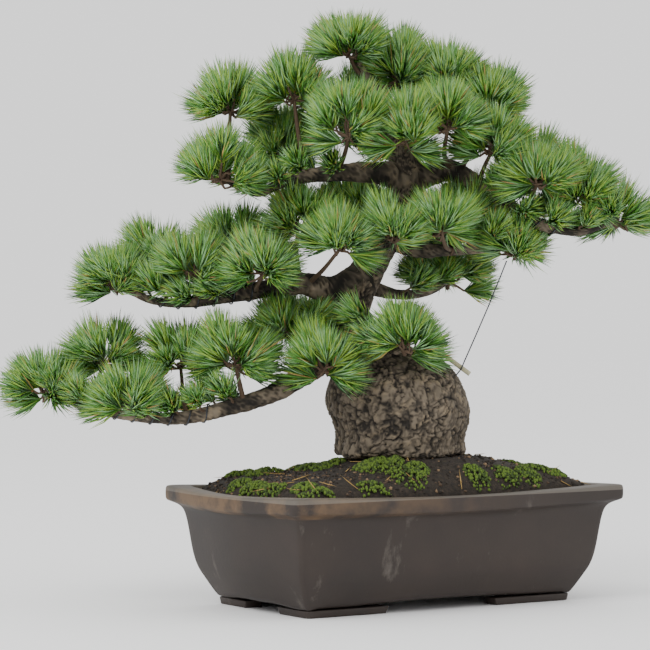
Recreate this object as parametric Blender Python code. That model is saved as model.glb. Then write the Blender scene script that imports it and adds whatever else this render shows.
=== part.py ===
# Japanese white pine bonsai in an unglazed pot.
# Metres, +Z up. It is built about the middle of the pot, and then moved so that
# the origin lies on the ground at the middle of the overall box.
# The pot's long side runs along X. The tree is laid out in its own frame,
# whose first axis runs across its best side, the second away from the viewer.

import math

import bmesh
import bpy
from mathutils import Vector, noise

MM = 0.001
CLEARANCE = 0.35 * MM        # gap left between neighbouring solids
TREE_TURN = math.radians(33.0)        # best side of the tree against the pot's front

# Pot
RIM_HALF_LENGTH = 200 * MM
RIM_HALF_WIDTH = 125 * MM
POT_HEIGHT = 119 * MM
CORNER_RADIUS = 9 * MM
LONG_SIDE_BOW = 3 * MM       # the long walls swell this much at their middle
SHORT_SIDE_BOW = 12 * MM
LONG_RIM_SAG = 5 * MM        # the rim sinks between its corners
SHORT_RIM_SAG = 3.5 * MM
WALL = 9 * MM
FLOOR_TOP = 17 * MM
FOOT_HEIGHT = 7.2 * MM
FOOT_INSET = 41 * MM
FOOT_LONG_LEG = 95 * MM
FOOT_SHORT_LEG = 55 * MM
FOOT_THICKNESS = 20 * MM
DRAIN_RADIUS = 10 * MM
DRAIN_PLACES = (-80 * MM, 80 * MM)

# Outer wall from the foot up to the rim: inset from the rim's edge, height
OUTER_PROFILE = (
    (40.2, 7.6), (34.6, 17.0), (29.0, 28.0), (24.6, 36.0), (20.8, 50.0), (18.2, 71.0),
    (15.6, 90.0), (12.0, 99.5), (1.4, 103.4), (0.0, 105.4), (0.0, 117.2), (1.6, 119.0),
)
# Inner wall from the rim down to the floor
INNER_PROFILE = (
    (19.0, 119.0), (21.0, 117.2), (24.6, 98.0), (28.8, 62.0), (37.0, 32.0), (50.0, 17.0),
)

# Soil
SOIL_EDGE = 114 * MM
SOIL_HEAP = 17 * MM
MOUND_HEIGHT = 19 * MM
MOUND_LEFT, MOUND_RIGHT, MOUND_DEPTH = 80 * MM, 104 * MM, 76 * MM
MOUND_MIDDLE = (15 * MM, 0.0)

# Trunk stations: across, back, height, half-width, half-depth
TRUNK_FOOT = 148
TRUNK = (
    (4, 0, TRUNK_FOOT, 69, 60), (4, -1, 158, 66, 59), (8, -2, 174, 67, 61),
    (5, -3, 190, 72, 64), (1, -3, 206, 73, 65), (0, -2, 222, 69, 62),
    (-3, 0, 237, 60, 54), (-9, 2, 248, 51, 45), (-26, 4, 257, 39, 34),
    (-44, 5, 267, 25, 25), (-50, 5, 282, 20, 20), (-40, 7, 308, 19, 19),
    (-29, 8, 336, 19, 19), (-10, 9, 366, 19, 18), (7, 9, 392, 18, 17),
    (16, 7, 420, 19, 17), (12, 5, 450, 14, 13), (1, 3, 482, 10, 10),
    (-18, 0, 515, 7, 7), (-37, -6, 545, 4, 4),
)
TRUNK_SIDES = 18

# Boughs: points along each (across, back, height), first and last radius,
# and the foliage mass that each one ends in
BOUGHS = {
    "bough_lower_left": (
        ((-44, -4, 262), (-72, -26, 244), (-100, -42, 226), (-136, -54, 208), (-174, -60, 197),
         (-212, -64, 189), (-256, -62, 190), (-300, -60, 197), (-345, -60, 214)),
        (13.5, 2.6), "foliage_lower_left_tip"),
    "bough_lower_front": (
        ((-40, 2, 300), (-27, -24, 290), (-17, -46, 272), (-4, -66, 255), (10, -78, 262)),
        (5.5, 2.6), "foliage_lower_right_front"),
    "bough_lower_back": (
        ((-46, 8, 274), (-62, 34, 272), (-82, 62, 268), (-94, 76, 276)),
        (8.5, 4.5), "foliage_lower_back"),
    "bough_middle_left": (
        ((-34, 8, 325), (-62, 0, 317), (-95, -12, 322), (-132, -22, 316), (-172, -26, 309),
         (-212, -24, 303), (-246, -22, 305), (-278, -20, 322)),
        (15.0, 3.2), "foliage_middle_left_tip"),
    "bough_middle_right": (
        ((-8, 9, 368), (24, -4, 356), (56, -12, 356), (88, -15, 357), (118, -15, 364)),
        (10.5, 3.2), "foliage_middle_right_outer"),
    "bough_middle_right_low": (
        ((-30, 12, 318), (4, 22, 311), (36, 32, 314), (60, 46, 330)),
        (7.0, 3.2), "foliage_middle_right_low"),
    "bough_middle_back": (
        ((-8, 10, 366), (-2, 45, 362), (8, 82, 362), (18, 116, 380)),
        (10.0, 4.2), "foliage_middle_back"),
    "bough_upper_left": (
        ((12, 6, 428), (-18, -4, 434), (-56, -12, 433), (-90, -18, 430), (-114, -22, 423),
         (-140, -30, 412), (-166, -42, 420)),
        (13.5, 3.2), "foliage_upper_left_low"),
    "bough_upper_right": (
        ((20, 7, 430), (52, 0, 437), (78, -6, 425), (100, -12, 410), (122, -18, 394),
         (148, -20, 380), (184, -22, 374), (216, -20, 386)),
        (12.5, 3.4), "foliage_right_tip"),
    "bough_upper_back": (
        ((14, 8, 436), (8, 36, 446), (-10, 62, 458), (-40, 74, 478)),
        (9.0, 4.2), "foliage_crown_back"),
}
BOUGH_SIDES = 6

# Foliage masses: middle (across, back, height) and half-sizes in the same order
FOLIAGE = {
    "lower_left_tip": ((-347, -60, 224), (43, 36, 24)),
    "lower_left_outer": ((-296, -20, 253), (36, 40, 31)),
    "lower_left_outer_front": ((-264, -86, 212), (41, 36, 26)),
    "lower_left_middle": ((-214, -30, 252), (38, 46, 32)),
    "lower_left_inner": ((-159, -75, 255), (41, 40, 34)),
    "lower_left_inner_top": ((-109, -15, 282), (46, 42, 28)),
    "lower_left_front": ((-69, -80, 250), (39, 36, 32)),
    "lower_right_front": ((8, -80, 270), (40, 36, 32)),
    "lower_back": ((-91, 70, 282), (46, 50, 25)),
    "middle_left_tip": ((-280, -20, 332), (32, 34, 30)),
    "middle_left_outer": ((-239, 20, 353), (35, 38, 27)),
    "middle_left_outer_front": ((-203, -45, 346), (36, 38, 38)),
    "middle_left_back": ((-153, 50, 371), (45, 52, 29)),
    "middle_left_front": ((-132, -85, 344), (41, 36, 30)),
    "middle_left_inner": ((-96, -5, 392), (38, 40, 32)),
    "middle_inner_front": ((-58, -80, 367), (37, 38, 33)),
    "middle_trunk_front": ((-6, -75, 379), (32, 34, 28)),
    "middle_right_front": ((43, -70, 383), (31, 34, 29)),
    "middle_trunk_back": ((-43, 60, 403), (37, 46, 25)),
    "middle_right_inner": ((76, 10, 399), (37, 46, 37)),
    "middle_right_outer": ((120, -15, 363), (38, 40, 27)),
    "middle_right_low": ((58, 50, 334), (51, 44, 19)),
    "middle_back": ((19, 120, 384), (46, 48, 32)),
    "upper_left_tip": ((-165, -10, 508), (42, 38, 30)),
    "upper_left_low": ((-173, -45, 439), (42, 42, 34)),
    "upper_left_low_back": ((-115, 25, 468), (37, 46, 37)),
    "upper_left_inner": ((-101, -20, 522), (32, 40, 36)),
    "apex": ((-44, -10, 565), (35, 38, 33)),
    "crown_right_top": ((5, 10, 547), (32, 44, 39)),
    "crown_front": ((-44, -75, 488), (46, 42, 43)),
    "crown_front_right": ((10, -70, 476), (32, 36, 36)),
    "crown_right": ((53, 5, 536), (32, 40, 29)),
    "crown_right_front": ((49, -65, 488), (30, 36, 36)),
    "crown_right_outer": ((95, -10, 511), (26, 38, 32)),
    "crown_right_low": ((93, -45, 467), (40, 42, 30)),
    "crown_back": ((-55, 75, 512), (58, 50, 52)),
    "crown_back_right": ((49, 85, 502), (56, 48, 48)),
    "right_inner": ((143, -50, 435), (33, 36, 34)),
    "right_middle": ((182, -30, 424), (31, 36, 38)),
    "right_tip": ((222, -20, 394), (32, 34, 32)),
    "right_back": ((144, 40, 443), (43, 42, 29)),
}
FOLIAGE_SPREAD = 1.16         # how far neighbouring masses reach into each other
FOLIAGE_LUMP = 0.16          # how uneven a mass is, as a share of its size
FOLIAGE_UNDERSIDE = 0.62     # the underside is flatter than the top
FOLIAGE_SEGMENTS, FOLIAGE_RINGS = 9, 6

# Guy wire and the stick that tightens it
GUY_WIRE_RADIUS = 0.7 * MM
STICK_RADIUS = 2.4 * MM
STICK_ENDS = ((32, -15, 263), (75, -15, 231))
GUY_WIRE_POINTS = ((118, -14, 360), (94, -16, 300), (69, -18.6, 243), (66, -18.6, 236), (58, -14, 226))

CERAMIC = ("pot_stoneware", (0.085, 0.055, 0.040), 0.62, 0.0)
SOIL = ("soil", (0.030, 0.024, 0.016), 0.95, 0.0)
BARK = ("bark", (0.110, 0.080, 0.055), 0.90, 0.0)
NEEDLES = ("needles", (0.070, 0.200, 0.045), 0.60, 0.0)
STEEL = ("wire", (0.120, 0.125, 0.130), 0.45, 1.0)
STICK_WOOD = ("stick_wood", (0.480, 0.440, 0.300), 0.70, 0.0)


def material(finish):
    name, colour, roughness, metallic = finish
    made = bpy.data.materials.get(name)
    if made is None:
        made = bpy.data.materials.new(name)
        made.use_nodes = True
        shader = made.node_tree.nodes["Principled BSDF"]
        shader.inputs["Base Color"].default_value = (*colour, 1.0)
        shader.inputs["Roughness"].default_value = roughness
        shader.inputs["Metallic"].default_value = metallic
        made.diffuse_color = (*colour, 1.0)
    return made


def tree_point(across, back, height):
    """A point of the tree, from millimetres in its own frame."""
    turn, lean = math.cos(TREE_TURN), math.sin(TREE_TURN)
    x = across * turn + back * lean
    y = back * turn - across * lean
    return Vector((x, y, height)) * MM


def add_object(name, bm, finish, smooth=True):
    mesh = bpy.data.meshes.new(name)
    bmesh.ops.triangulate(bm, faces=bm.faces)
    bmesh.ops.recalc_face_normals(bm, faces=bm.faces)
    bm.to_mesh(mesh)
    bm.free()
    mesh.materials.append(material(finish))
    if smooth:
        mesh.shade_smooth()
        mesh.set_sharp_from_angle(angle=math.radians(45))
    made = bpy.data.objects.new(name, mesh)
    bpy.context.scene.collection.objects.link(made)
    return made


def loft(rings, close_start=True, close_end=True):
    """A closed skin through rings of equal point counts."""
    bm = bmesh.new()
    loops = [[bm.verts.new(point) for point in ring] for ring in rings]
    for lower, upper in zip(loops, loops[1:]):
        for i in range(len(lower)):
            j = (i + 1) % len(lower)
            bm.faces.new((lower[i], lower[j], upper[j], upper[i]))
    if close_start:
        bm.faces.new(loops[0][::-1])
    if close_end:
        bm.faces.new(loops[-1])
    return bm


def inflated(source, by):
    """A hidden copy of a solid, grown along its normals, used to cut others."""
    mesh = source.data.copy()
    bm = bmesh.new()
    bm.from_mesh(mesh)
    bm.normal_update()
    grown = [(vert, vert.co + vert.normal * by * max(1.0, vert.calc_shell_factor())) for vert in bm.verts]
    for vert, place in grown:
        vert.co = place
    bm.to_mesh(mesh)
    bm.free()
    cutter = bpy.data.objects.new(source.name + "_cutter", mesh)
    cutter.hide_render = True
    cutter.display_type = "WIRE"
    bpy.context.scene.collection.objects.link(cutter)
    return cutter


def islands(bm):
    left = set(bm.verts)
    while left:
        start = left.pop()
        found, edge = {start}, [start]
        while edge:
            vert = edge.pop()
            for link in vert.link_edges:
                other = link.other_vert(vert)
                if other not in found:
                    found.add(other)
                    edge.append(other)
        left -= found
        yield found


def keep_one_body(target, near=None):
    """Drops what a cut has left loose: the largest piece stays, or the one nearest a point."""
    bm = bmesh.new()
    bm.from_mesh(target.data)
    pieces = list(islands(bm))
    if near is None:
        best = max(pieces, key=len)
    else:
        best = min(pieces, key=lambda piece: min((vert.co - near).length for vert in piece))
    for piece in pieces:
        if piece is not best:
            bmesh.ops.delete(bm, geom=list(piece), context="VERTS")
    bm.to_mesh(target.data)
    bm.free()


def carve(target, cutter, near=None):
    """Cuts one solid from another and keeps a single body."""
    cut = target.modifiers.new("carve", "BOOLEAN")
    cut.operation = "DIFFERENCE"
    cut.solver = "EXACT"
    cut.object = cutter
    bpy.context.view_layer.update()
    graph = bpy.context.evaluated_depsgraph_get()
    mesh = bpy.data.meshes.new_from_object(target.evaluated_get(graph))
    target.modifiers.clear()
    target.data = mesh
    keep_one_body(target, near)


def box_of(target):
    corners = [Vector(corner) for corner in target.bound_box]
    low = Vector(min(corner[axis] for corner in corners) for axis in range(3))
    high = Vector(max(corner[axis] for corner in corners) for axis in range(3))
    return low, high


def boxes_meet(a, b):
    (low_a, high_a), (low_b, high_b) = box_of(a), box_of(b)
    return all(low_a[i] < high_b[i] + MM and low_b[i] < high_a[i] + MM for i in range(3))


# Pot

def pot_outline(inset, height, sag_share=0.0, length=RIM_HALF_LENGTH, width=RIM_HALF_WIDTH):
    """One level of the pot: four bowed sides joined by rounded corners."""
    half = Vector((length - inset * MM, width - inset * MM))
    radius = max(CORNER_RADIUS - 0.08 * inset * MM, 3 * MM)
    bow_share = 1.0 - 0.35 * inset / 50
    points = []
    side_steps, corner_steps = 4, 3
    for side in range(4):
        along_x = side % 2 == 0
        run = (half.x if along_x else half.y) - radius
        reach = half.y if along_x else half.x
        bow = (LONG_SIDE_BOW if along_x else SHORT_SIDE_BOW) * bow_share
        sag = (LONG_RIM_SAG if along_x else SHORT_RIM_SAG) * sag_share
        turn = side * math.pi / 2
        for step in range(side_steps + 1):
            t = -1 + 2 * step / side_steps
            swell = 1 - abs(t) ** 1.6
            local = Vector((t * run, -(reach + bow * swell), height * MM - sag * swell))
            points.append(Vector((local.x * math.cos(turn) - local.y * math.sin(turn),
                                  local.x * math.sin(turn) + local.y * math.cos(turn), local.z)))
        for step in range(1, corner_steps):
            angle = -math.pi / 2 + step * (math.pi / 2) / corner_steps
            local = Vector((run + radius * math.cos(angle), -(reach - radius) + radius * math.sin(angle)))
            points.append(Vector((local.x * math.cos(turn) - local.y * math.sin(turn),
                                  local.x * math.sin(turn) + local.y * math.cos(turn), height * MM)))
    return points


def rim_sag(height):
    return min(max((height - 60) / 45, 0.0), 1.0)


def build_pot():
    rings = [pot_outline(inset, height, rim_sag(height)) for inset, height in OUTER_PROFILE]
    rings += [pot_outline(inset, height, rim_sag(height)) for inset, height in INNER_PROFILE]
    pot = add_object("pot", loft(rings), CERAMIC)
    for place in DRAIN_PLACES:
        bm = bmesh.new()
        bmesh.ops.create_cone(bm, cap_ends=True, segments=12, radius1=DRAIN_RADIUS,
                              radius2=DRAIN_RADIUS, depth=3 * FLOOR_TOP)
        bmesh.ops.translate(bm, verts=bm.verts, vec=(place, 0, FLOOR_TOP / 2))
        cutter = add_object("drain_cutter", bm, CERAMIC, smooth=False)
        carve(pot, cutter)
        bpy.data.objects.remove(cutter)
    return pot


def build_feet():
    """Four L-shaped corner feet, a little narrower at the ground."""
    for x_side, x_word in ((-1, "left"), (1, "right")):
        for y_side, y_word in ((-1, "front"), (1, "back")):
            rings = []
            for height, draft in ((0.0, 1.0 * MM), (FOOT_HEIGHT, 0.0)):
                long_leg = FOOT_LONG_LEG - 2 * draft * 2
                short_leg = FOOT_SHORT_LEG - 2 * draft * 2
                outer_x = RIM_HALF_LENGTH - FOOT_INSET - draft
                outer_y = RIM_HALF_WIDTH - FOOT_INSET - draft
                thick = FOOT_THICKNESS - 2 * draft
                corner = 5 * MM
                outline = [
                    (outer_x, outer_y - corner), (outer_x - 0.3 * corner, outer_y - 0.3 * corner),
                    (outer_x - corner, outer_y), (outer_x - long_leg, outer_y),
                    (outer_x - long_leg, outer_y - thick), (outer_x - thick, outer_y - thick),
                    (outer_x - thick, outer_y - short_leg), (outer_x, outer_y - short_leg),
                ]
                rings.append([Vector((x_side * x, y_side * y, height)) for x, y in outline])
            add_object("pot_foot_%s_%s" % (y_word, x_word), loft(rings), CERAMIC, smooth=False)


# Soil

def soil_height(place, edge_share):
    """Height of the soil's surface. edge_share runs from 0 in the middle to 1 at the wall."""
    across = place.x * math.cos(TREE_TURN) - place.y * math.sin(TREE_TURN)
    back = place.x * math.sin(TREE_TURN) + place.y * math.cos(TREE_TURN)
    reach = MOUND_LEFT if across < MOUND_MIDDLE[0] else MOUND_RIGHT
    away = math.hypot((across - MOUND_MIDDLE[0]) / reach, (back - MOUND_MIDDLE[1]) / MOUND_DEPTH)
    mound = MOUND_HEIGHT / (1 + away ** 6)
    grain = 1.6 * MM * noise.noise(place * 40) * (1 - edge_share ** 8)
    return SOIL_EDGE + SOIL_HEAP * (1 - edge_share ** 8) + mound * (1 - edge_share ** 8) + grain


def build_soil(trunk_cutter):
    gap_mm = CLEARANCE / MM
    cavity = [step for step in INNER_PROFILE if step[1] < 100][::-1]
    rings = [pot_outline(inset + gap_mm, height + (gap_mm if height < 18 else 0), 0.0)
             for inset, height in cavity]
    wall_top = pot_outline(22.8 + gap_mm, SOIL_EDGE / MM - 5, 1.0)
    rings.append(wall_top)
    middle = Vector((0, 0, SOIL_EDGE))
    for share in (0.96, 0.88, 0.76, 0.62, 0.46, 0.26):
        ring = []
        for point in wall_top:
            flat = middle + (point - middle) * share
            ring.append(Vector((flat.x, flat.y, soil_height(flat, share))))
        rings.append(ring)
    soil = add_object("soil", loft(rings), SOIL)
    carve(soil, trunk_cutter)
    return soil


# Trunk and boughs

def build_trunk():
    rings = []
    for across, back, height, half_width, half_depth in TRUNK:
        ring = []
        foot_share = max(0.0, 1 - (height - TRUNK_FOOT) / 60)
        for step in range(TRUNK_SIDES):
            angle = 2 * math.pi * step / TRUNK_SIDES
            way = Vector((math.cos(angle), math.sin(angle), 0))
            lobes = 1 + 0.07 * foot_share * math.sin(5 * angle + 0.6)
            rough = 1 + 0.09 * noise.noise(Vector((way.x * 1.7, way.y * 1.7, height * 0.035)))
            reach_x = across + half_width * way.x * lobes * rough
            reach_y = back + half_depth * way.y * lobes * rough
            ring.append(tree_point(reach_x, reach_y, height))
        rings.append(ring)
    return add_object("trunk", loft(rings), BARK)


def smooth_path(points, per_span):
    """Points along a Catmull-Rom curve through the given ones."""
    ends = [2 * points[0] - points[1]] + list(points) + [2 * points[-1] - points[-2]]
    path = []
    for a, b, c, d in zip(ends, ends[1:], ends[2:], ends[3:]):
        for step in range(per_span):
            t = step / per_span
            path.append(0.5 * ((2 * b) + (c - a) * t + (2 * a - 5 * b + 4 * c - d) * t * t
                               + (3 * b - a - 3 * c + d) * t ** 3))
    path.append(points[-1])
    return path


def tube(points, first_radius, last_radius, sides, uneven=0.0, seed=0.0):
    """A tapering limb along a path, its rings square to it."""
    rings = []
    side_way = None
    for index, point in enumerate(points):
        ahead = points[min(index + 1, len(points) - 1)] - points[max(index - 1, 0)]
        ahead.normalize()
        if side_way is None:
            side_way = ahead.orthogonal()
        side_way = (side_way - ahead * side_way.dot(ahead)).normalized()
        up_way = ahead.cross(side_way)
        share = index / (len(points) - 1)
        radius = first_radius + (last_radius - first_radius) * share ** 0.8
        ring = []
        for step in range(sides):
            angle = 2 * math.pi * step / sides
            way = side_way * math.cos(angle) + up_way * math.sin(angle)
            rough = 1 + uneven * noise.noise(point * 45 + way * 0.8 + Vector((seed, 0, 0)))
            ring.append(point + way * radius * rough)
        rings.append(ring)
    return loft(rings)


def build_boughs(trunk_cutter, masses):
    boughs = {}
    for number, (name, (points, radii, end)) in enumerate(BOUGHS.items()):
        path = [tree_point(*point) for point in points]
        skin = tube(path, radii[0] * MM, radii[1] * MM, BOUGH_SIDES, 0.22, number * 3.1)
        bough = add_object(name, skin, BARK)
        middle = path[len(path) // 2]
        carve(bough, trunk_cutter, middle)
        end_cutter = inflated(masses[end], CLEARANCE)
        carve(bough, end_cutter, path[1])
        bpy.data.objects.remove(end_cutter)
        boughs[name] = bough
    return boughs


# Foliage

def build_masses():
    """Uneven domes with flatter undersides, parted by planes where two would meet."""
    blobs = {}
    for number, (name, (middle, half)) in enumerate(FOLIAGE.items()):
        bm = bmesh.new()
        bmesh.ops.create_uvsphere(bm, u_segments=FOLIAGE_SEGMENTS, v_segments=FOLIAGE_RINGS, radius=1.0)
        bmesh.ops.triangulate(bm, faces=bm.faces)
        shift = Vector((number * 7.31, number * 3.17, 1.9))
        for vert in bm.verts:
            way = vert.co.normalized()
            place = way * (1 + FOLIAGE_LUMP * noise.noise(way * 1.5 + shift))
            if place.z < 0:
                place.z *= FOLIAGE_UNDERSIDE
            size = [FOLIAGE_SPREAD * value for value in half]
            vert.co = Vector((place.x * size[0], place.y * size[1], place.z * size[2])) + Vector(middle)
        blobs[name] = bm
    names = list(FOLIAGE)
    for i, first in enumerate(names):
        for second in names[i + 1:]:
            part_two(blobs, first, second)
    masses = {}
    for name, bm in blobs.items():
        for vert in bm.verts:
            vert.co = tree_point(*vert.co)
        masses["foliage_" + name] = add_object("foliage_" + name, bm, NEEDLES)
    return masses


def part_two(blobs, first, second):
    middle_a, half_a = (Vector(v) for v in FOLIAGE[first])
    middle_b, half_b = (Vector(v) for v in FOLIAGE[second])
    half_a, half_b = half_a * FOLIAGE_SPREAD, half_b * FOLIAGE_SPREAD
    between = middle_b - middle_a
    reach = half_a + half_b
    if any(abs(between[i]) > 1.25 * reach[i] for i in range(3)):
        return
    normal = Vector(between[i] / reach[i] ** 2 for i in range(3)).normalized()
    size_a = 1 / math.sqrt(sum((between[i] / half_a[i]) ** 2 for i in range(3)))
    size_b = 1 / math.sqrt(sum((between[i] / half_b[i]) ** 2 for i in range(3)))
    if size_a + size_b < 0.8:
        return
    place = middle_a + between * (size_a / (size_a + size_b))
    half_gap = 0.5 * CLEARANCE / MM
    for name, way in ((first, normal), (second, -normal)):
        bm = blobs[name]
        bmesh.ops.bisect_plane(bm, geom=bm.verts[:] + bm.edges[:] + bm.faces[:], dist=0.001,
                               plane_co=place - way * half_gap, plane_no=way, clear_outer=True)
        rim = [edge for edge in bm.edges if edge.is_boundary]
        if rim:
            bmesh.ops.holes_fill(bm, edges=rim, sides=0)
            bmesh.ops.triangulate(bm, faces=bm.faces)


def carve_masses(masses, boughs, trunk_cutter):
    for name, mass in masses.items():
        if boxes_meet(mass, trunk_cutter):
            carve(mass, trunk_cutter)
    for bough_name, bough in boughs.items():
        end = BOUGHS[bough_name][2]
        cutter = inflated(bough, CLEARANCE)
        for name, mass in masses.items():
            if name != end and boxes_meet(mass, cutter):
                carve(mass, cutter)
        bpy.data.objects.remove(cutter)


# Guy wire

def build_guy_wire(trunk_cutter, masses):
    low, high = (tree_point(*end) for end in STICK_ENDS)
    stick = add_object("toggle_stick", tube([low, (low + high) / 2, high], STICK_RADIUS, STICK_RADIUS, 8),
                       STICK_WOOD)
    carve(stick, trunk_cutter, high)
    path = smooth_path([tree_point(*point) for point in GUY_WIRE_POINTS], 2)
    wire = add_object("guy_wire", tube(path, GUY_WIRE_RADIUS, GUY_WIRE_RADIUS, 6), STEEL)
    cutter = inflated(masses["foliage_middle_right_outer"], CLEARANCE)
    carve(wire, cutter, path[len(path) // 2])
    bpy.data.objects.remove(cutter)
    carve(wire, trunk_cutter, path[len(path) // 2])


def centre_on_ground():
    """Moves everything so that the overall box stands on the ground with its middle at the origin."""
    points = [vert.co for item in bpy.data.objects for vert in item.data.vertices]
    low = [min(point[axis] for point in points) for axis in range(3)]
    high = [max(point[axis] for point in points) for axis in range(3)]
    shift = Vector(((low[0] + high[0]) / 2, (low[1] + high[1]) / 2, low[2]))
    for item in bpy.data.objects:
        for vert in item.data.vertices:
            vert.co -= shift


def main():
    for item in list(bpy.data.objects):
        bpy.data.objects.remove(item)
    build_pot()
    build_feet()
    trunk = build_trunk()
    trunk_cutter = inflated(trunk, CLEARANCE)
    build_soil(trunk_cutter)
    masses = build_masses()
    boughs = build_boughs(trunk_cutter, masses)
    carve_masses(masses, boughs, trunk_cutter)
    build_guy_wire(trunk_cutter, masses)
    bpy.data.objects.remove(trunk_cutter)
    centre_on_ground()


main()
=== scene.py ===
import math

import bpy
import numpy as np
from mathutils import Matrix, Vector, noise


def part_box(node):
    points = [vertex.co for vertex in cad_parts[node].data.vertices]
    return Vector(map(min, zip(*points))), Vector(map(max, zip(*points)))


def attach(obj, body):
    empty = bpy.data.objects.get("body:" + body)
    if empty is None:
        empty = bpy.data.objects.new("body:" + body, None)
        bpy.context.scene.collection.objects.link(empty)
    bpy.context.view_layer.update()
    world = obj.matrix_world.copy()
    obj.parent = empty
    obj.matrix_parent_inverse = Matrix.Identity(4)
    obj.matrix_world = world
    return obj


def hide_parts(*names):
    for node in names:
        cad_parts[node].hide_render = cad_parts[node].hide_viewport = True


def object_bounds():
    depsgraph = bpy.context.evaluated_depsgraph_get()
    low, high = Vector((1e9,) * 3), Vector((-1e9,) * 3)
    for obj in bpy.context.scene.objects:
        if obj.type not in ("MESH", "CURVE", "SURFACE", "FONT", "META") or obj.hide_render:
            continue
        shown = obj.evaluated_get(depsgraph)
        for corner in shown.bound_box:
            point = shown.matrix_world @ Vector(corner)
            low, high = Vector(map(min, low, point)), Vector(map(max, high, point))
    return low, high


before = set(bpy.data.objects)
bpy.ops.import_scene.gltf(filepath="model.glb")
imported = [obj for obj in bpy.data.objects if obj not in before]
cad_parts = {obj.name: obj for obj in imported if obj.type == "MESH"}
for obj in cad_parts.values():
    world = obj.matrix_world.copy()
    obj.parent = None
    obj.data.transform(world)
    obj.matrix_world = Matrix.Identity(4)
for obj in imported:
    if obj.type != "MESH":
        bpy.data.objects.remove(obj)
cadLow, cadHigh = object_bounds()

mm = 0.001
seed = 11
rng = np.random.default_rng(seed)
noise.seed_set(seed)      # fixes the bend of the bark's plates
treeTurn = math.radians(33.0)      # best side of the tree against the pot's front
potLow, potHigh = (Vector(corner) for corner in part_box("pot"))
potPlace = Vector(((potLow.x + potHigh.x) / 2, (potLow.y + potHigh.y) / 2, 0))
massNames = sorted(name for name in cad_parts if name.startswith("foliage_"))

# Boughs in the tree's own frame, in mm: points as across, away from the viewer and up, then the
# radii at the root and the tip
boughPaths = {
    "bough_lower_left": (
        ((-30, 0, 268), (-58, -14, 254), (-84, -34, 236), (-106, -44, 222), (-136, -54, 208),
         (-174, -60, 197), (-212, -64, 189), (-256, -62, 190), (-300, -60, 197), (-345, -60, 212)),
        (14.5, 2.2)),
    "bough_lower_front": (
        ((-42, 6, 304), (-29, -22, 292), (-17, -46, 272), (-4, -66, 255), (8, -78, 258)), (5.0, 2.2)),
    "bough_lower_back": (((-46, 0, 276), (-62, 34, 272), (-82, 62, 268), (-91, 72, 274)), (9.0, 3.0)),
    "bough_middle_left": (
        ((-28, 8, 330), (-62, 0, 317), (-95, -12, 322), (-132, -22, 316), (-172, -26, 309),
         (-212, -24, 303), (-246, -22, 306), (-276, -20, 320)), (15.5, 2.6)),
    "bough_middle_right": (
        ((-12, 9, 370), (24, -4, 356), (56, -12, 356), (88, -15, 357), (116, -15, 360)), (11.0, 2.6)),
    "bough_middle_right_low": (
        ((-34, 10, 320), (4, 22, 311), (36, 32, 314), (58, 46, 326)), (7.5, 2.6)),
    "bough_middle_back": (((-8, 4, 368), (-2, 45, 362), (8, 82, 362), (18, 114, 374)), (10.0, 3.4)),
    "bough_upper_left": (
        ((18, 7, 426), (-18, -4, 434), (-56, -12, 433), (-90, -18, 430), (-114, -22, 423),
         (-140, -30, 413), (-168, -42, 424)), (14.0, 2.6)),
    "bough_upper_right": (
        ((14, 7, 426), (52, 0, 437), (78, -6, 425), (100, -12, 410), (122, -18, 394),
         (148, -20, 380), (184, -22, 374), (218, -20, 384)), (13.0, 2.8)),
    "bough_upper_back": (((14, 2, 436), (8, 36, 446), (-10, 62, 458), (-42, 74, 480)), (9.0, 3.2)),
}


def treePoint(across, back, height):
    cosine, sine = math.cos(treeTurn), math.sin(treeTurn)
    return potPlace + Vector((across * cosine + back * sine, back * cosine - across * sine, height)) * mm


# Materials

def shaderOf(material):
    return material.node_tree.nodes["Principled BSDF"]


def newMaterial(name, colour, roughness=0.6, metallic=0.0):
    material = bpy.data.materials.new(name)
    material.use_nodes = True
    inputs = shaderOf(material).inputs
    inputs["Base Color"].default_value = (*colour, 1)
    inputs["Roughness"].default_value = roughness
    inputs["Metallic"].default_value = metallic
    return material


def addNode(material, kind, inputs=(), **values):
    node = material.node_tree.nodes.new(kind)
    for key, value in values.items():
        setattr(node, key, value)
    for key, value in dict(inputs).items():
        node.inputs[key].default_value = value
    return node


def link(material, source, target):
    material.node_tree.links.new(source, target)


def ramp(material, source, stops):
    node = addNode(material, "ShaderNodeValToRGB")
    elements = node.color_ramp.elements
    while len(elements) < len(stops):
        elements.new(0.5)
    for element, (place, colour) in zip(elements, stops):
        element.position = place
        element.color = (*colour, 1)
    link(material, source, node.inputs["Fac"])
    return node.outputs["Color"]


def noiseOf(material, scale, detail=4.0, roughness=0.6, stretch=(1, 1, 1)):
    place = addNode(material, "ShaderNodeTexCoord")
    mapping = addNode(material, "ShaderNodeMapping", {"Scale": stretch})
    link(material, place.outputs["Object"], mapping.inputs["Vector"])
    settings = {"Scale": scale, "Detail": detail, "Roughness": roughness}
    node = addNode(material, "ShaderNodeTexNoise", settings)
    link(material, mapping.outputs["Vector"], node.inputs["Vector"])
    return node.outputs["Fac"]


def mixColour(material, factor, first, second):
    node = addNode(material, "ShaderNodeMix", data_type="RGBA")
    link(material, factor, node.inputs[0])
    for socket, value in ((node.inputs[6], first), (node.inputs[7], second)):
        if isinstance(value, tuple):
            socket.default_value = (*value, 1)
        else:
            link(material, value, socket)
    return node.outputs[2]


def calculate(material, operation, *values, clamp=False):
    node = addNode(material, "ShaderNodeMath", operation=operation, use_clamp=clamp)
    for socket, value in zip(node.inputs, values):
        if isinstance(value, (int, float)):
            socket.default_value = value
        else:
            link(material, value, socket)
    return node.outputs[0]


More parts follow.
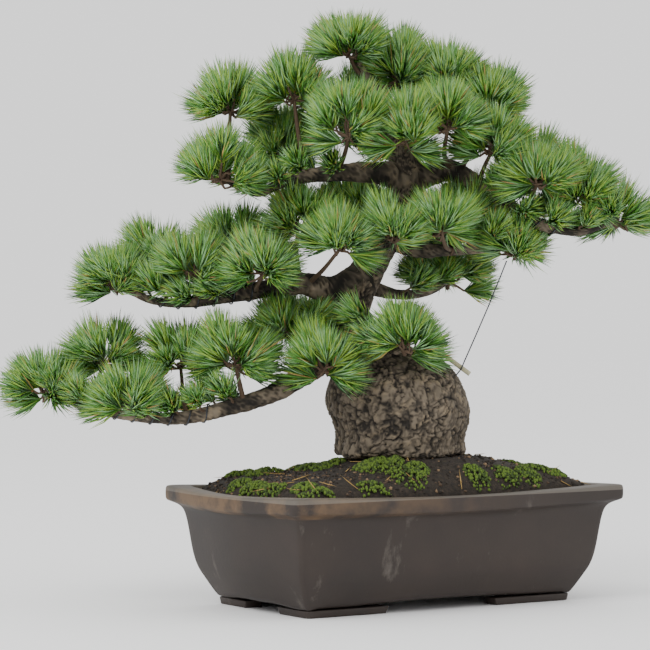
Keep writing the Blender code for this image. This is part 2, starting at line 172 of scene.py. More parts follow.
def addBump(material, height, strength, distance):
    bump = addNode(material, "ShaderNodeBump", {"Strength": strength, "Distance": distance})
    link(material, height, bump.inputs["Height"])
    link(material, bump.outputs["Normal"], shaderOf(material).inputs["Normal"])


def finishColour(material, colour):
    link(material, colour, shaderOf(material).inputs["Base Color"])


# Colour over the relief: painted shade darkens the crevices to near black, the plates are brown-grey, and
# their raised tops carry tan patches as a painted highlight
def makeBark():
    bark = newMaterial("bark", (0.05, 0.036, 0.025), 0.88)
    relief = addNode(bark, "ShaderNodeAttribute", attribute_name="relief").outputs["Fac"]
    # Painted shade and light: darker the lower the relief, near black in the crevices, lighter on the plate
    # tops
    plates = ramp(bark, relief, ((0.0, (0.004, 0.003, 0.002)), (0.42, (0.016, 0.012, 0.008)),
                                 (0.68, (0.070, 0.055, 0.038)), (1.0, (0.200, 0.160, 0.112))))
    # Tan patches, used below as the painted highlight
    tan = mixColour(bark, ramp(bark, noiseOf(bark, 95, 5), ((0.52, (0, 0, 0)), (0.72, (1, 1, 1)))),
                    plates, (0.30, 0.225, 0.135))
    # Painted highlight: the tan patches show on the raised plate tops
    finishColour(bark, mixColour(bark, ramp(bark, relief, ((0.55, (0, 0, 0)), (0.9, (0.8, 0.8, 0.8)))),
                                 plates, tan))
    addBump(bark, noiseOf(bark, 420, 5), 0.5, 0.6 * mm)
    return bark


stoneware = {"rimHeight": 98 * mm, "topEdgeHeight": 113.5 * mm, "topHighlightShare": 0.35,
             "stainAtOrigin": 0.32, "stainPerMetre": -2.2}


# Dark brown stoneware, ochre stained along the rim's left part, with pale mineral scuffs and a painted
# highlight on the rim's top
def makeStoneware():
    clay = newMaterial("pot_stoneware", (0.03, 0.018, 0.012), 0.62)
    place = addNode(clay, "ShaderNodeSeparateXYZ")
    coordinates = addNode(clay, "ShaderNodeTexCoord")
    link(clay, coordinates.outputs["Object"], place.inputs[0])
    body = ramp(clay, noiseOf(clay, 9, 6), ((0.3, (0.013, 0.0075, 0.005)), (0.7, (0.026, 0.0155, 0.0105))))
    leftward = calculate(clay, "MULTIPLY_ADD", place.outputs["X"], stoneware["stainPerMetre"],
                         stoneware["stainAtOrigin"], clamp=True)
    onRim = calculate(clay, "GREATER_THAN", place.outputs["Z"], stoneware["rimHeight"])
    stainSpots = ramp(clay, noiseOf(clay, 26, 5), ((0.42, (0, 0, 0)), (0.6, (1, 1, 1))))
    stain = calculate(clay, "MULTIPLY", calculate(clay, "MULTIPLY", leftward, onRim), stainSpots, clamp=True)
    stained = mixColour(clay, stain, body, (0.165, 0.095, 0.042))
    scuffNoise = noiseOf(clay, 30, 7, 0.7, (1, 1, 0.35))
    scuffMask = ramp(clay, scuffNoise, ((0.60, (0, 0, 0)), (0.78, (0.5, 0.5, 0.5))))
    scuffed = mixColour(clay, scuffMask, stained, (0.19, 0.165, 0.14))
    # Painted highlight: the rim's top, above the top edge height, is mixed partly towards pale grey-tan
    atTopEdge = calculate(clay, "GREATER_THAN", place.outputs["Z"], stoneware["topEdgeHeight"])
    rimTopHighlight = calculate(clay, "MULTIPLY", atTopEdge, stoneware["topHighlightShare"])
    finishColour(clay, mixColour(clay, rimTopHighlight, scuffed, (0.23, 0.205, 0.17)))
    addBump(clay, noiseOf(clay, 260, 6), 0.35, 0.4 * mm)
    return clay


def makeSoil():
    soil = newMaterial("soil", (0.015, 0.011, 0.008), 0.95)
    finishColour(soil, ramp(soil, noiseOf(soil, 240, 6, 0.75), (
        (0.35, (0.008, 0.006, 0.004)), (0.6, (0.030, 0.021, 0.014)), (0.8, (0.085, 0.055, 0.030)))))
    addBump(soil, noiseOf(soil, 500, 6), 0.8, 1.0 * mm)
    return soil


barkMaterial = makeBark()
clayMaterial = makeStoneware()
soilMaterial = makeSoil()
needleGreens = [
    newMaterial("needle_mid_green", (0.085, 0.250, 0.028), 0.45),
    newMaterial("needle_yellow_green", (0.270, 0.440, 0.055), 0.45),
    newMaterial("needle_dark_green", (0.016, 0.070, 0.010), 0.5),
    newMaterial("needle_blue_side", (0.230, 0.420, 0.190), 0.5),
    newMaterial("needle_straw", (0.420, 0.270, 0.080), 0.60),
]
shootMaterial = newMaterial("shoot_orange_brown", (0.235, 0.095, 0.032), 0.70)
twigMaterial = newMaterial("twig_brown", (0.085, 0.052, 0.030), 0.85)
grainMaterials = [newMaterial("grain_dark", (0.018, 0.013, 0.009), 0.95),
                  newMaterial("grain_brown", (0.075, 0.047, 0.027), 0.9),
                  newMaterial("grain_tan", (0.200, 0.130, 0.070), 0.9)]
mossMaterials = [newMaterial("moss_green", (0.090, 0.150, 0.014), 0.9),
                 newMaterial("moss_deep", (0.035, 0.062, 0.009), 0.9)]
wireMaterial = newMaterial("wire", (0.07, 0.075, 0.085), 0.5, 1.0)
stickMaterial = newMaterial("stick_wood", (0.46, 0.43, 0.28), 0.7)
finishColour(stickMaterial, ramp(stickMaterial, noiseOf(stickMaterial, 120, 4, 0.6, (1, 1, 0.3)),
                                 ((0.3, (0.33, 0.30, 0.17)), (0.7, (0.55, 0.52, 0.36)))))
print("materials made")


# Joined meshes from arrays

def meshObject(name, points, faces, materials, faceMaterials=None, replaced=()):
    mesh = bpy.data.meshes.new(name)
    points = np.asarray(points, np.float32).reshape(-1, 3)
    faces = np.asarray(faces, np.int32).reshape(-1, 3)
    mesh.vertices.add(len(points))
    mesh.vertices.foreach_set("co", points.ravel())
    mesh.loops.add(faces.size)
    mesh.loops.foreach_set("vertex_index", faces.ravel())
    mesh.polygons.add(len(faces))
    mesh.polygons.foreach_set("loop_start", np.arange(0, faces.size, 3, dtype=np.int32))
    for material in materials:
        mesh.materials.append(material)
    if faceMaterials is not None:
        mesh.polygons.foreach_set("material_index", np.asarray(faceMaterials, np.int32))
    mesh.update(calc_edges=True)
    made = bpy.data.objects.new(name, mesh)
    bpy.context.scene.collection.objects.link(made)
    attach(made, "root")
    if replaced:
        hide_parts(*replaced)
    return made


# Points along a smooth curve through the given ones, about one step apart
def curvePoints(points, step):
    points = [Vector(point) for point in points]
    ends = [2 * points[0] - points[1]] + points + [2 * points[-1] - points[-2]]
    path = []
    for a, b, c, d in zip(ends, ends[1:], ends[2:], ends[3:]):
        count = max(1, round((c - b).length / step))
        for index in range(count):
            t = index / count
            path.append(0.5 * (2 * b + (c - a) * t + (2 * a - 5 * b + 4 * c - d) * t * t
                               + (3 * b - a - 3 * c + d) * t ** 3))
    return path + [points[-1]]


# Rings square to a path, closed at both ends, as points, triangles and relief values
def tubeArrays(path, radii, sides, relief=None):
    path = [Vector(point) for point in path]
    points, values = [], []
    sideWay = None
    for index, (point, radius) in enumerate(zip(path, radii)):
        ahead = (path[min(index + 1, len(path) - 1)] - path[max(index - 1, 0)]).normalized()
        sideWay = ahead.orthogonal() if sideWay is None else sideWay - ahead * sideWay.dot(ahead)
        sideWay.normalize()
        upWay = ahead.cross(sideWay)
        for side in range(sides):
            angle = 2 * math.pi * side / sides
            way = sideWay * math.cos(angle) + upWay * math.sin(angle)
            value = relief(point + way * radius) if relief else 0.0
            points.append(point + way * radius * (1 + value))
            values.append(value)
    points += [path[0], path[-1]]
    values += [0.0, 0.0]
    ring = np.arange(sides)
    after = (ring + 1) % sides
    faces = []
    for level in range(len(path) - 1):
        low, high = level * sides, (level + 1) * sides
        faces.append(np.stack([low + ring, low + after, high + after], 1))
        faces.append(np.stack([low + ring, high + after, high + ring], 1))
    last = (len(path) - 1) * sides
    start, end = len(points) - 2, len(points) - 1
    faces.append(np.stack([np.full(sides, start), after, ring], 1))
    faces.append(np.stack([np.full(sides, end), last + ring, last + after], 1))
    return np.array(points), np.concatenate(faces), np.array(values)


# Collects small shapes of one kind into one mesh
class Joined:

    def __init__(self):
        self.points, self.faces, self.materials, self.count = [], [], [], 0

    def add(self, points, faces, material=0):
        self.points.append(points)
        self.faces.append(faces + self.count)
        self.materials.append(np.full(len(faces), material) if np.isscalar(material) else material)
        self.count += len(points)

    def make(self, name, materials, slotName, replaced=()):
        return meshObject(name, np.concatenate(self.points), np.concatenate(self.faces), materials,
                          np.concatenate(self.materials), replaced)


def setRelief(made, values):
    attribute = made.data.attributes.new("relief", "FLOAT", "POINT")
    attribute.data.foreach_set("value", np.clip(values, 0, 1).astype(np.float32))


# Pot and feet, with the coarse facets of their solids smoothed away

smoothing = {"mergeDistance": 0.02 * mm, "flatAngle": math.radians(50), "squareAngle": math.radians(60),
             "edgeWidth": 0.8 * mm, "edgeSteps": 2, "potLevels": 3, "footCrease": math.radians(40)}


# A finer copy of a solid, which it replaces
def refined(nodeName, name, levels, material, creaseAngle=None):
    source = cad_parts[nodeName]
    mesh = source.data.copy()
    made = bpy.data.objects.new(name, mesh)
    bpy.context.scene.collection.objects.link(made)
    made.matrix_world = source.matrix_world
    bpy.ops.object.select_all(action="DESELECT")
    made.select_set(True)
    bpy.context.view_layer.objects.active = made
    bpy.ops.object.transform_apply(location=True, rotation=True, scale=True)
    bpy.ops.object.mode_set(mode="EDIT")
    bpy.ops.mesh.select_all(action="SELECT")
    bpy.ops.mesh.remove_doubles(threshold=smoothing["mergeDistance"])
    bpy.ops.mesh.tris_convert_to_quads(face_threshold=smoothing["flatAngle"],
                                       shape_threshold=smoothing["squareAngle"])
    bpy.ops.object.mode_set(mode="OBJECT")
    if creaseAngle:
        bevel = made.modifiers.new("edges", "BEVEL")
        bevel.width = smoothing["edgeWidth"]
        bevel.segments = smoothing["edgeSteps"]
        bevel.limit_method = "ANGLE"
        bevel.angle_limit = creaseAngle
        bpy.ops.object.modifier_apply(modifier="edges")
    if levels:
        smooth = made.modifiers.new("smooth", "SUBSURF")
        smooth.levels = smooth.render_levels = levels
        bpy.ops.object.modifier_apply(modifier="smooth")
    made.data.materials.clear()
    made.data.materials.append(material)
    bpy.ops.object.shade_smooth()
    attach(made, "root")
    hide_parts(nodeName)
    return made


refined("pot", "pot_body", smoothing["potLevels"], clayMaterial)
for end in ("left", "right"):
    for side in ("front", "back"):
        foot = "foot_%s_%s" % (side, end)
        refined("pot_" + foot, foot, 0, clayMaterial, smoothing["footCrease"])
print("pot made")


# Trunk and boughs

plating = {"cells": ((1.0, 0.45, 0.16), (0.42, 0.25, 0.22)),      # size, share of height, crevice width
           "stretch": 0.55, "roundness": 0.7, "bendScale": 0.9, "bend": 0.75, "fineBendScale": 2.8,
           "fineBend": 0.30, "layers": 4, "layerScale": 0.8, "layerBend": 0.4, "layerRelief": 0.20,
           "flakeScale": 4.2, "flakeRelief": 0.12}


# Height of plated bark, 0 in a crevice and about 1 on a plate. plate is a plate's size
def crackRelief(place, plate):
    wobble = (noise.noise_vector(place / plate * plating["bendScale"]) * plating["bend"]
              + noise.noise_vector(place / plate * plating["fineBendScale"]) * plating["fineBend"])
    height = 0.0
    for scale, share, width in plating["cells"]:
        stretched = Vector((place.x, place.y, place.z * plating["stretch"])) / (plate * scale) + wobble
        distances, _ = noise.voronoi(stretched)
        gap = min(max((distances[1] - distances[0]) / width, 0.0), 1.0)
        height += share * gap ** plating["roundness"]
    layer = 0.5 + 0.5 * noise.noise(place / plate * plating["layerScale"] + wobble * plating["layerBend"])
    flake = 0.5 + 0.5 * noise.noise(place / plate * plating["flakeScale"])
    stepped = math.floor(layer * plating["layers"]) / plating["layers"]
    return height + plating["layerRelief"] * stepped + plating["flakeRelief"] * flake


trunkBark = {"levels": 4, "plateSize": 15 * mm, "depth": 6.0 * mm, "thinHeight": 0.56, "thinsOver": 0.30,
             "thinnest": 0.25, "topPlate": 0.55, "plateGrowth": 0.45, "middleRelief": 0.62,
             "hollowScale": 21, "hollowDepth": 0.25}
trunk = refined("trunk", "trunk_bark", trunkBark["levels"], barkMaterial)


# Raises plates and cuts crevices, both finer towards the top
def carveTrunk():
    mesh = trunk.data
    count = len(mesh.vertices)
    places = np.empty(count * 3, np.float32)
    normals = np.empty(count * 3, np.float32)
    mesh.vertices.foreach_get("co", places)
    mesh.vertices.foreach_get("normal", normals)
    places, normals = places.reshape(-1, 3), normals.reshape(-1, 3)
    values = np.zeros(count)
    for index in range(count):
        place = Vector(places[index])
        below = (trunkBark["thinHeight"] - place.z) / trunkBark["thinsOver"]
        thin = min(max(below, trunkBark["thinnest"]), 1.0)
        plate = trunkBark["plateSize"] * (trunkBark["topPlate"] + trunkBark["plateGrowth"] * thin)
        values[index] = crackRelief(place, plate)
        hollow = trunkBark["hollowDepth"] * noise.noise(place * trunkBark["hollowScale"])
        rise = values[index] - trunkBark["middleRelief"] + hollow
        places[index] += normals[index] * (trunkBark["depth"] * thin * rise)
    mesh.vertices.foreach_set("co", places.ravel())
    mesh.update()
    setRelief(trunk, values)


carveTrunk()
print("trunk made")

boughBark = {"sides": 22, "ringStep": 2.4 * mm, "ringsInTrunk": 4, "plateSize": 8 * mm, "depth": 0.26,
             "middleRelief": 0.55, "lumps": 0.16, "lumpScale": 60, "middleShade": 0.5, "shadeRange": 0.9,
             "rootSwell": 0.35, "rootLength": 14 * mm, "taper": 0.75}
trunkLimbs = {"lowest": 0.29, "highest": 0.53, "step": 12 * mm, "reach": 4 * mm}
limbPoints = []      # where branchlets can start


def boughPath(name, step):
    return curvePoints([treePoint(*point) for point in boughPaths[name][0]], step)


# A bough's radius in mm at a share of its length
def boughRadius(name, share):
    first, last = boughPaths[name][1]
    return first + (last - first) * share ** boughBark["taper"]


def boughRelief(place):
    plates = crackRelief(place, boughBark["plateSize"]) - boughBark["middleRelief"]
    return boughBark["depth"] * plates + boughBark["lumps"] * noise.noise(place * boughBark["lumpScale"])


def makeBoughs():
    for name in boughPaths:
        path = boughPath(name, boughBark["ringStep"])
        radii = []
        for index in range(len(path)):
            distance = index * boughBark["ringStep"]
            swell = boughBark["rootSwell"] * math.exp(-distance / boughBark["rootLength"])
            radii.append(boughRadius(name, index / (len(path) - 1)) * (1 + swell) * mm)
        points, faces, values = tubeArrays(path, radii, boughBark["sides"], boughRelief)
        made = meshObject(name + "_bark", points, faces, [barkMaterial], replaced=(name,))
        setRelief(made, boughBark["middleShade"] + values / boughBark["depth"] * boughBark["shadeRange"])
        made.data.shade_smooth()
        limbPoints.extend(path[boughBark["ringsInTrunk"]:])


def addTrunkLimbs():
    places = np.array([vertex.co for vertex in trunk.data.vertices])
    for height in np.arange(trunkLimbs["lowest"], trunkLimbs["highest"], trunkLimbs["step"]):
        level = places[np.abs(places[:, 2] - height) < trunkLimbs["reach"]]
        if len(level):
            limbPoints.append(Vector(level.mean(0)))


makeBoughs()
addTrunkLimbs()
print("boughs made", len(limbPoints))


# Branchlets, shoots and needles

shoots = {"tuftsPerMass": 10, "pieces": 5, "hubHeight": 0.16, "turn": 2.39996, "turnScatter": 0.4,
          "climbRange": 1.15, "climbDrop": 0.18, "climbScatter": 0.08, "lowest": -0.22, "highest": 0.99,
          "leastReach": 0.30, "needleReach": 0.90, "placeScatter": 3 * mm, "lift": 0.30,
          "aimScatter": 0.16, "stepBack": 0.25, "lengths": (0.88, 1.08), "twigSwell": 1.2,
          "upwardCost": 1.6}
sideShoots = {"step": 15 * mm, "out": 0.9, "along": 0.45, "up": (0.25, 0.8), "twigSwell": 1.3,
              "twigLengths": (10, 22), "lengths": (0.75, 0.95)}      # twig lengths in mm
branchlets = {"radius": 2.3 * mm, "twigRadius": 1.3 * mm, "swell": 1.25, "endShare": 0.8, "sides": 6,
              "step": 5 * mm, "bend": 2.5 * mm, "sag": 4 * mm, "twigSag": 1 * mm, "shortest": 4 * mm}
budShape = {"sides": 5, "widest": 0.35, "lower": (6 * mm, 1.9 * mm), "upper": (8 * mm, 1.6 * mm),
            "upperPlace": 0.9}
needles = {"perTuft": 165, "length": 37 * mm, "width": 1.4 * mm, "spread": math.radians(52),
           "shootLength": 17 * mm, "ringRadius": 0.8 * mm, "lengths": (0.78, 1.05), "upperShorter": 0.22,
           "widths": (0.85, 1.1), "inward": 0.8, "outward": 0.5, "upward": 0.35, "bendScatter": 0.35,
           "middleBend": 0.03, "tipBend": 0.17, "rootWidth": 0.45, "middleWidth": 0.55}
greens = {"mid": 0.46, "yellow": 0.10, "dark": 0.40, "leastDark": 0.04, "straw": 0.02, "lightShift": 0.42,
          "light": 0.30, "facingUp": 0.5, "height": 0.15, "scatter": 0.16, "paleSided": 0.7}
needleFaceCount = 10
paleGreen = 3      # place of the pale side's material in needleGreens
paleFaces = np.array([1, 2, 3])
twigs, buds = Joined(), Joined()


# Triangles of a bud: its ring joined to the foot, then to the tip
def budFaces():
    sides = budShape["sides"]
    ring = [(1 + side, 1 + (side + 1) % sides) for side in range(sides)]
    return np.array([(0, after, side) for side, after in ring]
                    + [(sides + 1, side, after) for side, after in ring])


def addBud(place, way, size):
    length, radius = size
    side = way.orthogonal().normalized()
    other = way.cross(side)
    ring = [place + (side * math.cos(a) + other * math.sin(a)) * radius + way * length * budShape["widest"]
            for a in np.arange(budShape["sides"]) * 2 * math.pi / budShape["sides"]]
    buds.add(np.array([place, *ring, place + way * length]), budFaces())


def scatter(size):
    return rng.uniform(-size, size)


def heightShare(place):
    return (place.z - cadLow.z) / (cadHigh.z - cadLow.z)


def branchlet(start, end, radius, swell, sag):
    middle = (start + end) / 2 + Vector((0, 0, -sag)) + Vector(rng.normal(0, branchlets["bend"], 3))
    path = curvePoints([start, middle, end], branchlets["step"])
    radii = np.linspace(radius * swell, radius * branchlets["endShare"], len(path))
    points, faces, _ = tubeArrays(path, radii, branchlets["sides"])
    twigs.add(points, faces)


# The limb point that a mass grows from: near, and rather below the mass than above it
def rootOf(hub):
    def cost(point):
        return (point - hub).length + shoots["upwardCost"] * max(point.z - hub.z, 0)

    return min(limbPoints, key=cost)


# Needles of three sides, bent towards their tips, as points and triangles
def needleArrays(bases, ways, bends, lengths, widths):
    count = len(bases)
    reference = np.where(np.abs(ways[:, [2]]) < 0.9, [[0.0, 0.0, 1.0]], [[1.0, 0.0, 0.0]])
    side = np.cross(ways, reference)
    side /= np.linalg.norm(side, axis=1, keepdims=True)
    other = np.cross(ways, side)
    turn = rng.uniform(0, 2 * math.pi, count)[:, None]
    lengths, widths = lengths[:, None], widths[:, None]
    points = np.empty((count, 7, 3))
    middle = bases + ways * lengths * 0.5 + bends * lengths * needles["middleBend"]
    points[:, 6] = bases + ways * lengths + bends * lengths * needles["tipBend"]
    for corner in range(3):
        angle = turn + corner * 2 * math.pi / 3
        out = side * np.cos(angle) + other * np.sin(angle)
        points[:, corner] = bases + out * widths * needles["rootWidth"]
        points[:, 3 + corner] = middle + out * widths * needles["middleWidth"]
    sides = [(0, 2, 1)]
    for corner in range(3):
        after = (corner + 1) % 3
        sides += [(corner, after, 3 + after), (corner, 3 + after, 3 + corner), (3 + corner, 3 + after, 6)]
    faces = np.array(sides)[None] + 7 * np.arange(count)[:, None, None]
    return points.reshape(-1, 3), faces.reshape(-1, 3)


# One material for each face: a needle has one colour, and most green ones have a pale side
def needleColours(count, light):
    shift = greens["lightShift"] * light
    dark = max(greens["dark"] - shift, greens["leastDark"])
    shares = np.array([greens["mid"], greens["yellow"] + shift, dark, 0.0, greens["straw"]])
    own = rng.choice(len(needleGreens), count, p=shares / shares.sum())
    faces = np.repeat(own[:, None], needleFaceCount, 1)
    hasPale = (own < paleGreen) & (rng.random(count) < greens["paleSided"])
    faces[np.ix_(hasPale, paleFaces)] = paleGreen
    return faces.ravel()


# One brush of needles round a shoot's end, yellower where it faces up
def growTuft(piece, start, aim, length, height):
    count = needles["perTuft"]
    axis = np.array(aim)
    side = np.array(aim.orthogonal().normalized())
    other = np.cross(axis, side)
    angle = rng.uniform(0, 2 * math.pi, count)
    lean = needles["spread"] * np.sqrt(rng.uniform(0.01, 1, count))
    along = rng.uniform(0, 1, count)
    out = np.cos(angle)[:, None] * side + np.sin(angle)[:, None] * other
    ways = axis * np.cos(lean)[:, None] + out * np.sin(lean)[:, None]
    bases = np.array(start) + axis * (along * needles["shootLength"])[:, None] + out * needles["ringRadius"]
    bends = (axis * needles["inward"] - out * needles["outward"] + np.array((0, 0, needles["upward"]))
             + rng.normal(0, needles["bendScatter"], (count, 3)))
    lengths = length * rng.uniform(*needles["lengths"], count) * (1 - needles["upperShorter"] * along)
    widths = needles["width"] * rng.uniform(*needles["widths"], count)
    points, faces = needleArrays(bases, ways, bends, lengths, widths)
    light = greens["light"] + greens["facingUp"] * aim.z + greens["height"] * height
    light = min(max(light + rng.normal(0, greens["scatter"]), 0), 1)
    piece.add(points, faces, needleColours(count, light))


# Shoots that fan out from the low middle of a mass, so that their needles reach its outline
def growMass(name, piece):
    low, high = (Vector(corner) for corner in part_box(name))
    half = (high - low) / 2
    hubHeight = low.z + shoots["hubHeight"] * (high.z - low.z)
    hub = Vector(((low.x + high.x) / 2, (low.y + high.y) / 2, hubHeight))
    root = rootOf(hub)
    if (root - hub).length > branchlets["shortest"]:
        branchlet(root, hub, branchlets["radius"], branchlets["swell"], branchlets["sag"])
    count = shoots["tuftsPerMass"]
    rise = high.z - hub.z
    for index in range(count):
        azimuth = index * shoots["turn"] + scatter(shoots["turnScatter"])
        sine = shoots["climbRange"] * index / count - shoots["climbDrop"] + scatter(shoots["climbScatter"])
        climb = math.asin(min(max(sine, shoots["lowest"]), shoots["highest"]))
        flat = math.cos(climb)
        way = Vector((math.cos(azimuth) * flat, math.sin(azimuth) * flat, math.sin(climb)))
        length = needles["length"] * rng.uniform(*shoots["lengths"])
        reach = Vector((way.x * half.x, way.y * half.y, way.z * rise))
        share = 1 - shoots["needleReach"] * length / max(reach.length, 1 * mm)
        base = hub + reach * max(shoots["leastReach"], share)
        base += Vector(rng.normal(0, shoots["placeScatter"], 3))
        aim = Vector((reach.x, reach.y, reach.z + shoots["lift"] * reach.length)).normalized()
        aim = (aim + Vector(rng.normal(0, shoots["aimScatter"], 3))).normalized()
        start = base - aim * needles["shootLength"] * shoots["stepBack"]
        branchlet(hub, start, branchlets["twigRadius"], shoots["twigSwell"], branchlets["twigSag"])
        addBud(start, aim, budShape["lower"])
        addBud(start + aim * needles["shootLength"] * budShape["upperPlace"], aim, budShape["upper"])
        growTuft(piece, start, aim, length, heightShare(base))


# Short side shoots on all but the first two fifths of the boughs, which close the pads between masses
def growSideShoots(piece):
    for name in boughPaths:
        path = boughPath(name, sideShoots["step"])
        for index in range(len(path) * 2 // 5, len(path) - 1):
            ahead = (path[index + 1] - path[index]).normalized()
            side = ahead.cross(Vector((0, 0, 1))).normalized() * (1 if index % 2 else -1)
            up = Vector((0, 0, rng.uniform(*sideShoots["up"])))
            aim = (side * sideShoots["out"] + ahead * sideShoots["along"] + up).normalized()
            start = path[index] + aim * rng.uniform(*sideShoots["twigLengths"]) * mm
            branchlet(path[index], start, branchlets["twigRadius"], sideShoots["twigSwell"], 0.0)
            addBud(start, aim, budShape["lower"])
            length = needles["length"] * rng.uniform(*sideShoots["lengths"])
            growTuft(piece, start, aim, length, heightShare(start))


def growFoliage():
    between = Joined()
    growSideShoots(between)
    between.make("needles_side_shoots", needleGreens, "needles")
    for group in range(shoots["pieces"]):
        piece = Joined()
        names = massNames[group::shoots["pieces"]]
        for name in names:
            growMass(name, piece)
        piece.make("needles_%d" % (group + 1), needleGreens, "needles", names)
    twigs.make("branchlets", [twigMaterial], "bark")
    buds.make("shoot_buds", [shootMaterial], "bark")


growFoliage()
print("foliage grown")


# Soil, grit, moss and fallen needles

ground = {"levels": 2, "roughness": 1.1 * mm, "roughScale": 160, "topFacing": 0.5, "restFacing": 0.4,
          "above": 0.3}
grit = {"count": 2600, "size": 1.5 * mm, "sizes": (0.5, 1.6), "lumps": (0.6, 1.15), "stretch": (0.7, 1.2),
        "shares": (0.62, 0.28, 0.10)}
# Radii, lengths, heights and sizes of these two in mm
moss = {"patches": 44, "tips": 170, "radii": (9, 21), "height": 4.5, "tipSizes": (0.9, 1.7),
        "tipStretch": (1, 1, 1.3), "deepShare": 0.4}
fallen = {"count": 60, "lengths": (14, 30), "width": 1.0, "above": 1.6, "bend": (0.0, 0.0, 0.2)}

soil = refined("soil", "soil_mound", ground["levels"], soilMaterial)
soilLow, soilHigh = (Vector(corner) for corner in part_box("soil"))


def roughenSoil():
    for vertex in soil.data.vertices:
        if vertex.normal.z > ground["topFacing"]:
            vertex.co.z += ground["roughness"] * noise.noise(vertex.co * ground["roughScale"])
    soil.data.update()


def placeOverSoil():
    return Vector((rng.uniform(soilLow.x, soilHigh.x), rng.uniform(soilLow.y, soilHigh.y), 0))


# The point of the soil's surface at a place, and its normal, or None where it is steep or missing
def soilTop(place):
    above = Vector((place.x, place.y, ground["above"]))
    hit, where, normal, _ = soil.ray_cast(above, Vector((0, 0, -1)))
    return (where, normal) if hit and normal.z > ground["restFacing"] else (None, None)


# A lump of twelve corners: two tips and two rings of five, the lower one turned by half a step
def lumpShape():
    ringRadius, ringHeight = 2 / math.sqrt(5), 1 / math.sqrt(5)
    points = [(0, 0, 1)]
    for turn, height in ((0, ringHeight), (0.5, -ringHeight)):
        for step in range(5):
            angle = 2 * math.pi * (step + turn) / 5
            points.append((ringRadius * math.cos(angle), ringRadius * math.sin(angle), height))
    points.append((0, 0, -1))
    ring = [(step, (step + 1) % 5) for step in range(5)]
    faces = ([(0, 1 + a, 1 + b) for a, b in ring] + [(1 + a, 6 + a, 1 + b) for a, b in ring]
             + [(6 + a, 6 + b, 1 + b) for a, b in ring] + [(11, 6 + b, 6 + a) for a, b in ring])
    return np.round(points, 3), np.array(faces)


lumpPoints, lumpFaces = lumpShape()


def scatterGrains():
    grains = Joined()
    for _ in range(grit["count"]):
        where, _normal = soilTop(placeOverSoil())
        if where is None:
            continue
        size = grit["size"] * rng.uniform(*grit["sizes"])
        lumps = rng.uniform(*grit["lumps"], (len(lumpPoints), 1))
        shape = lumpPoints * lumps * size * rng.uniform(*grit["stretch"], (1, 3))
        colour = int(rng.choice(len(grainMaterials), p=grit["shares"]))
        grains.add(shape + np.array(where), lumpFaces, colour)
    grains.make("soil_grains", grainMaterials, "soil")


def growMoss():
    cushions = Joined()
    for _ in range(moss["patches"]):
        middle = placeOverSoil()
        radius = rng.uniform(*moss["radii"])
        for _ in range(moss["tips"]):
            away = math.sqrt(rng.random())
            angle = rng.uniform(0, 2 * math.pi)
            offset = Vector((math.cos(angle), math.sin(angle), 0)) * away * radius * mm
            where, _normal = soilTop(middle + offset)
            if where is None:
                continue
            rise = np.array((0, 0, (1 - away ** 2) * moss["height"] * mm))
            size = rng.uniform(*moss["tipSizes"]) * mm
            tip = lumpPoints * size * np.array(moss["tipStretch"]) + np.array(where) + rise
            cushions.add(tip, lumpFaces, int(rng.random() < moss["deepShare"]))
    cushions.make("moss_cushions", mossMaterials, "soil")


def dropNeedles():
    bases, ways = [], []
    for _ in range(fallen["count"]):
        where, normal = soilTop(placeOverSoil())
        if where is None:
            continue
        way = Vector(rng.normal(0, 1, 3))
        bases.append(where + normal * fallen["above"] * mm)
        ways.append((way - normal * way.dot(normal)).normalized())
    count = len(bases)
    lengths = rng.uniform(*fallen["lengths"], count) * mm
    points, faces = needleArrays(np.array(bases), np.array(ways), np.tile(fallen["bend"], (count, 1)),
                                 lengths, np.full(count, fallen["width"] * mm))
    meshObject("fallen_needles", points, faces, [needleGreens[4]])


roughenSoil()
scatterGrains()
growMoss()
dropNeedles()
print("soil made")


# Training wire, wound on three boughs, and the guy wire with its stick

wire = {"radius": 0.75 * mm, "sides": 8, "stepsPerTurn": 14, "pathStep": 2 * mm, "overBark": 1.10,
        "gap": 0.9,      # in mm
        "coils": (("bough_lower_left", 0.52, 0.92, 8), ("bough_middle_left", 0.45, 0.85, 6),
                  ("bough_upper_right", 0.50, 0.75, 3))}      # bough, shares of its length, turns


def windWire():
    joined = Joined()
    for name, start, end, turns in wire["coils"]:
        path = boughPath(name, wire["pathStep"])
        steps = turns * wire["stepsPerTurn"]
        helix = []
        for step in range(steps + 1):
            share = start + (end - start) * step / steps
            place = share * (len(path) - 2)
            index = int(place)
            point = path[index].lerp(path[index + 1], place - index)
            ahead = (path[index + 1] - path[index]).normalized()
            side = ahead.cross(Vector((0, 0, 1))).normalized()
            up = side.cross(ahead)
            radius = (boughRadius(name, share) * wire["overBark"] + wire["gap"]) * mm
            angle = 2 * math.pi * turns * step / steps
            helix.append(point + (side * math.cos(angle) + up * math.sin(angle)) * radius)
        points, faces, _ = tubeArrays(helix, [wire["radius"]] * len(helix), wire["sides"])
        joined.add(points, faces)
    joined.make("training_wire", [wireMaterial], "wire")


windWire()
for nodeName, material in (("guy_wire", wireMaterial), ("toggle_stick", stickMaterial)):
    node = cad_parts[nodeName]
    node.data.materials.clear()
    node.data.materials.append(material)
    node.data.shade_smooth()
print("wire made")


# Floor, light and camera

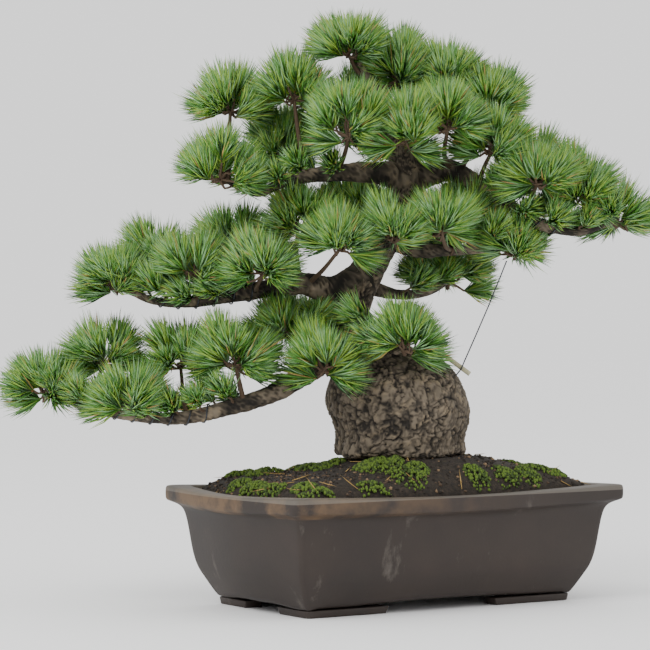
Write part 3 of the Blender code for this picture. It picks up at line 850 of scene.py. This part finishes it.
studio = {"floorSize": 14, "floorDrop": 0.2 * mm, "skyStrength": 1.35, "aimHeight": 0.25,
          "lamps": (("key", (-2.3, -0.7, 2.1), 1.6, 46), ("fill", (2.1, -1.6, 1.6), 2.0, 6))}
# The photo's view, worked out from the pot's edges in a picture of 650 by 650 pixels
view = {"pictureSize": 650, "focalPixels": 2944.84, "yaw": math.radians(32.945),
        "pitch": math.radians(-0.8462), "place": (-1.679, -2.4608, 0.3241), "sensorWidth": 36,
        "farthest": 50}


def makeStage():
    bpy.ops.object.select_all(action="DESELECT")
    bpy.ops.mesh.primitive_plane_add(size=studio["floorSize"], location=(0, 0, -studio["floorDrop"]))
    floor = bpy.context.object
    floor.name = "floor"
    floor.data.materials.append(newMaterial("floor_white", (1.0, 1.0, 1.0), 0.9))
    world = bpy.context.scene.world or bpy.data.worlds.new("studio")
    bpy.context.scene.world = world
    world.use_nodes = True
    background = world.node_tree.nodes["Background"]
    background.inputs["Color"].default_value = (1, 1, 1, 1)
    background.inputs["Strength"].default_value = studio["skyStrength"]
    for name, place, size, power in studio["lamps"]:
        light = bpy.data.lights.new(name, "AREA")
        light.size = size
        light.energy = power
        holder = bpy.data.objects.new(name, light)
        holder.location = potPlace + Vector(place)
        aim = potPlace + Vector((0, 0, studio["aimHeight"])) - holder.location
        holder.rotation_euler = aim.to_track_quat("-Z", "Y").to_euler()
        bpy.context.scene.collection.objects.link(holder)


def makeCamera():
    camera = bpy.data.cameras.new("camera")
    camera.sensor_width = view["sensorWidth"]
    camera.lens = camera.sensor_width * view["focalPixels"] / view["pictureSize"]
    camera.clip_end = view["farthest"]
    holder = bpy.data.objects.new("camera", camera)
    holder.location = potPlace + Vector(view["place"])
    level = math.cos(view["pitch"])
    forward = Vector((math.sin(view["yaw"]) * level, math.cos(view["yaw"]) * level, math.sin(view["pitch"])))
    holder.rotation_euler = forward.to_track_quat("-Z", "Y").to_euler()
    bpy.context.scene.collection.objects.link(holder)
    bpy.context.scene.camera = holder


makeStage()
makeCamera()
print("stage made")
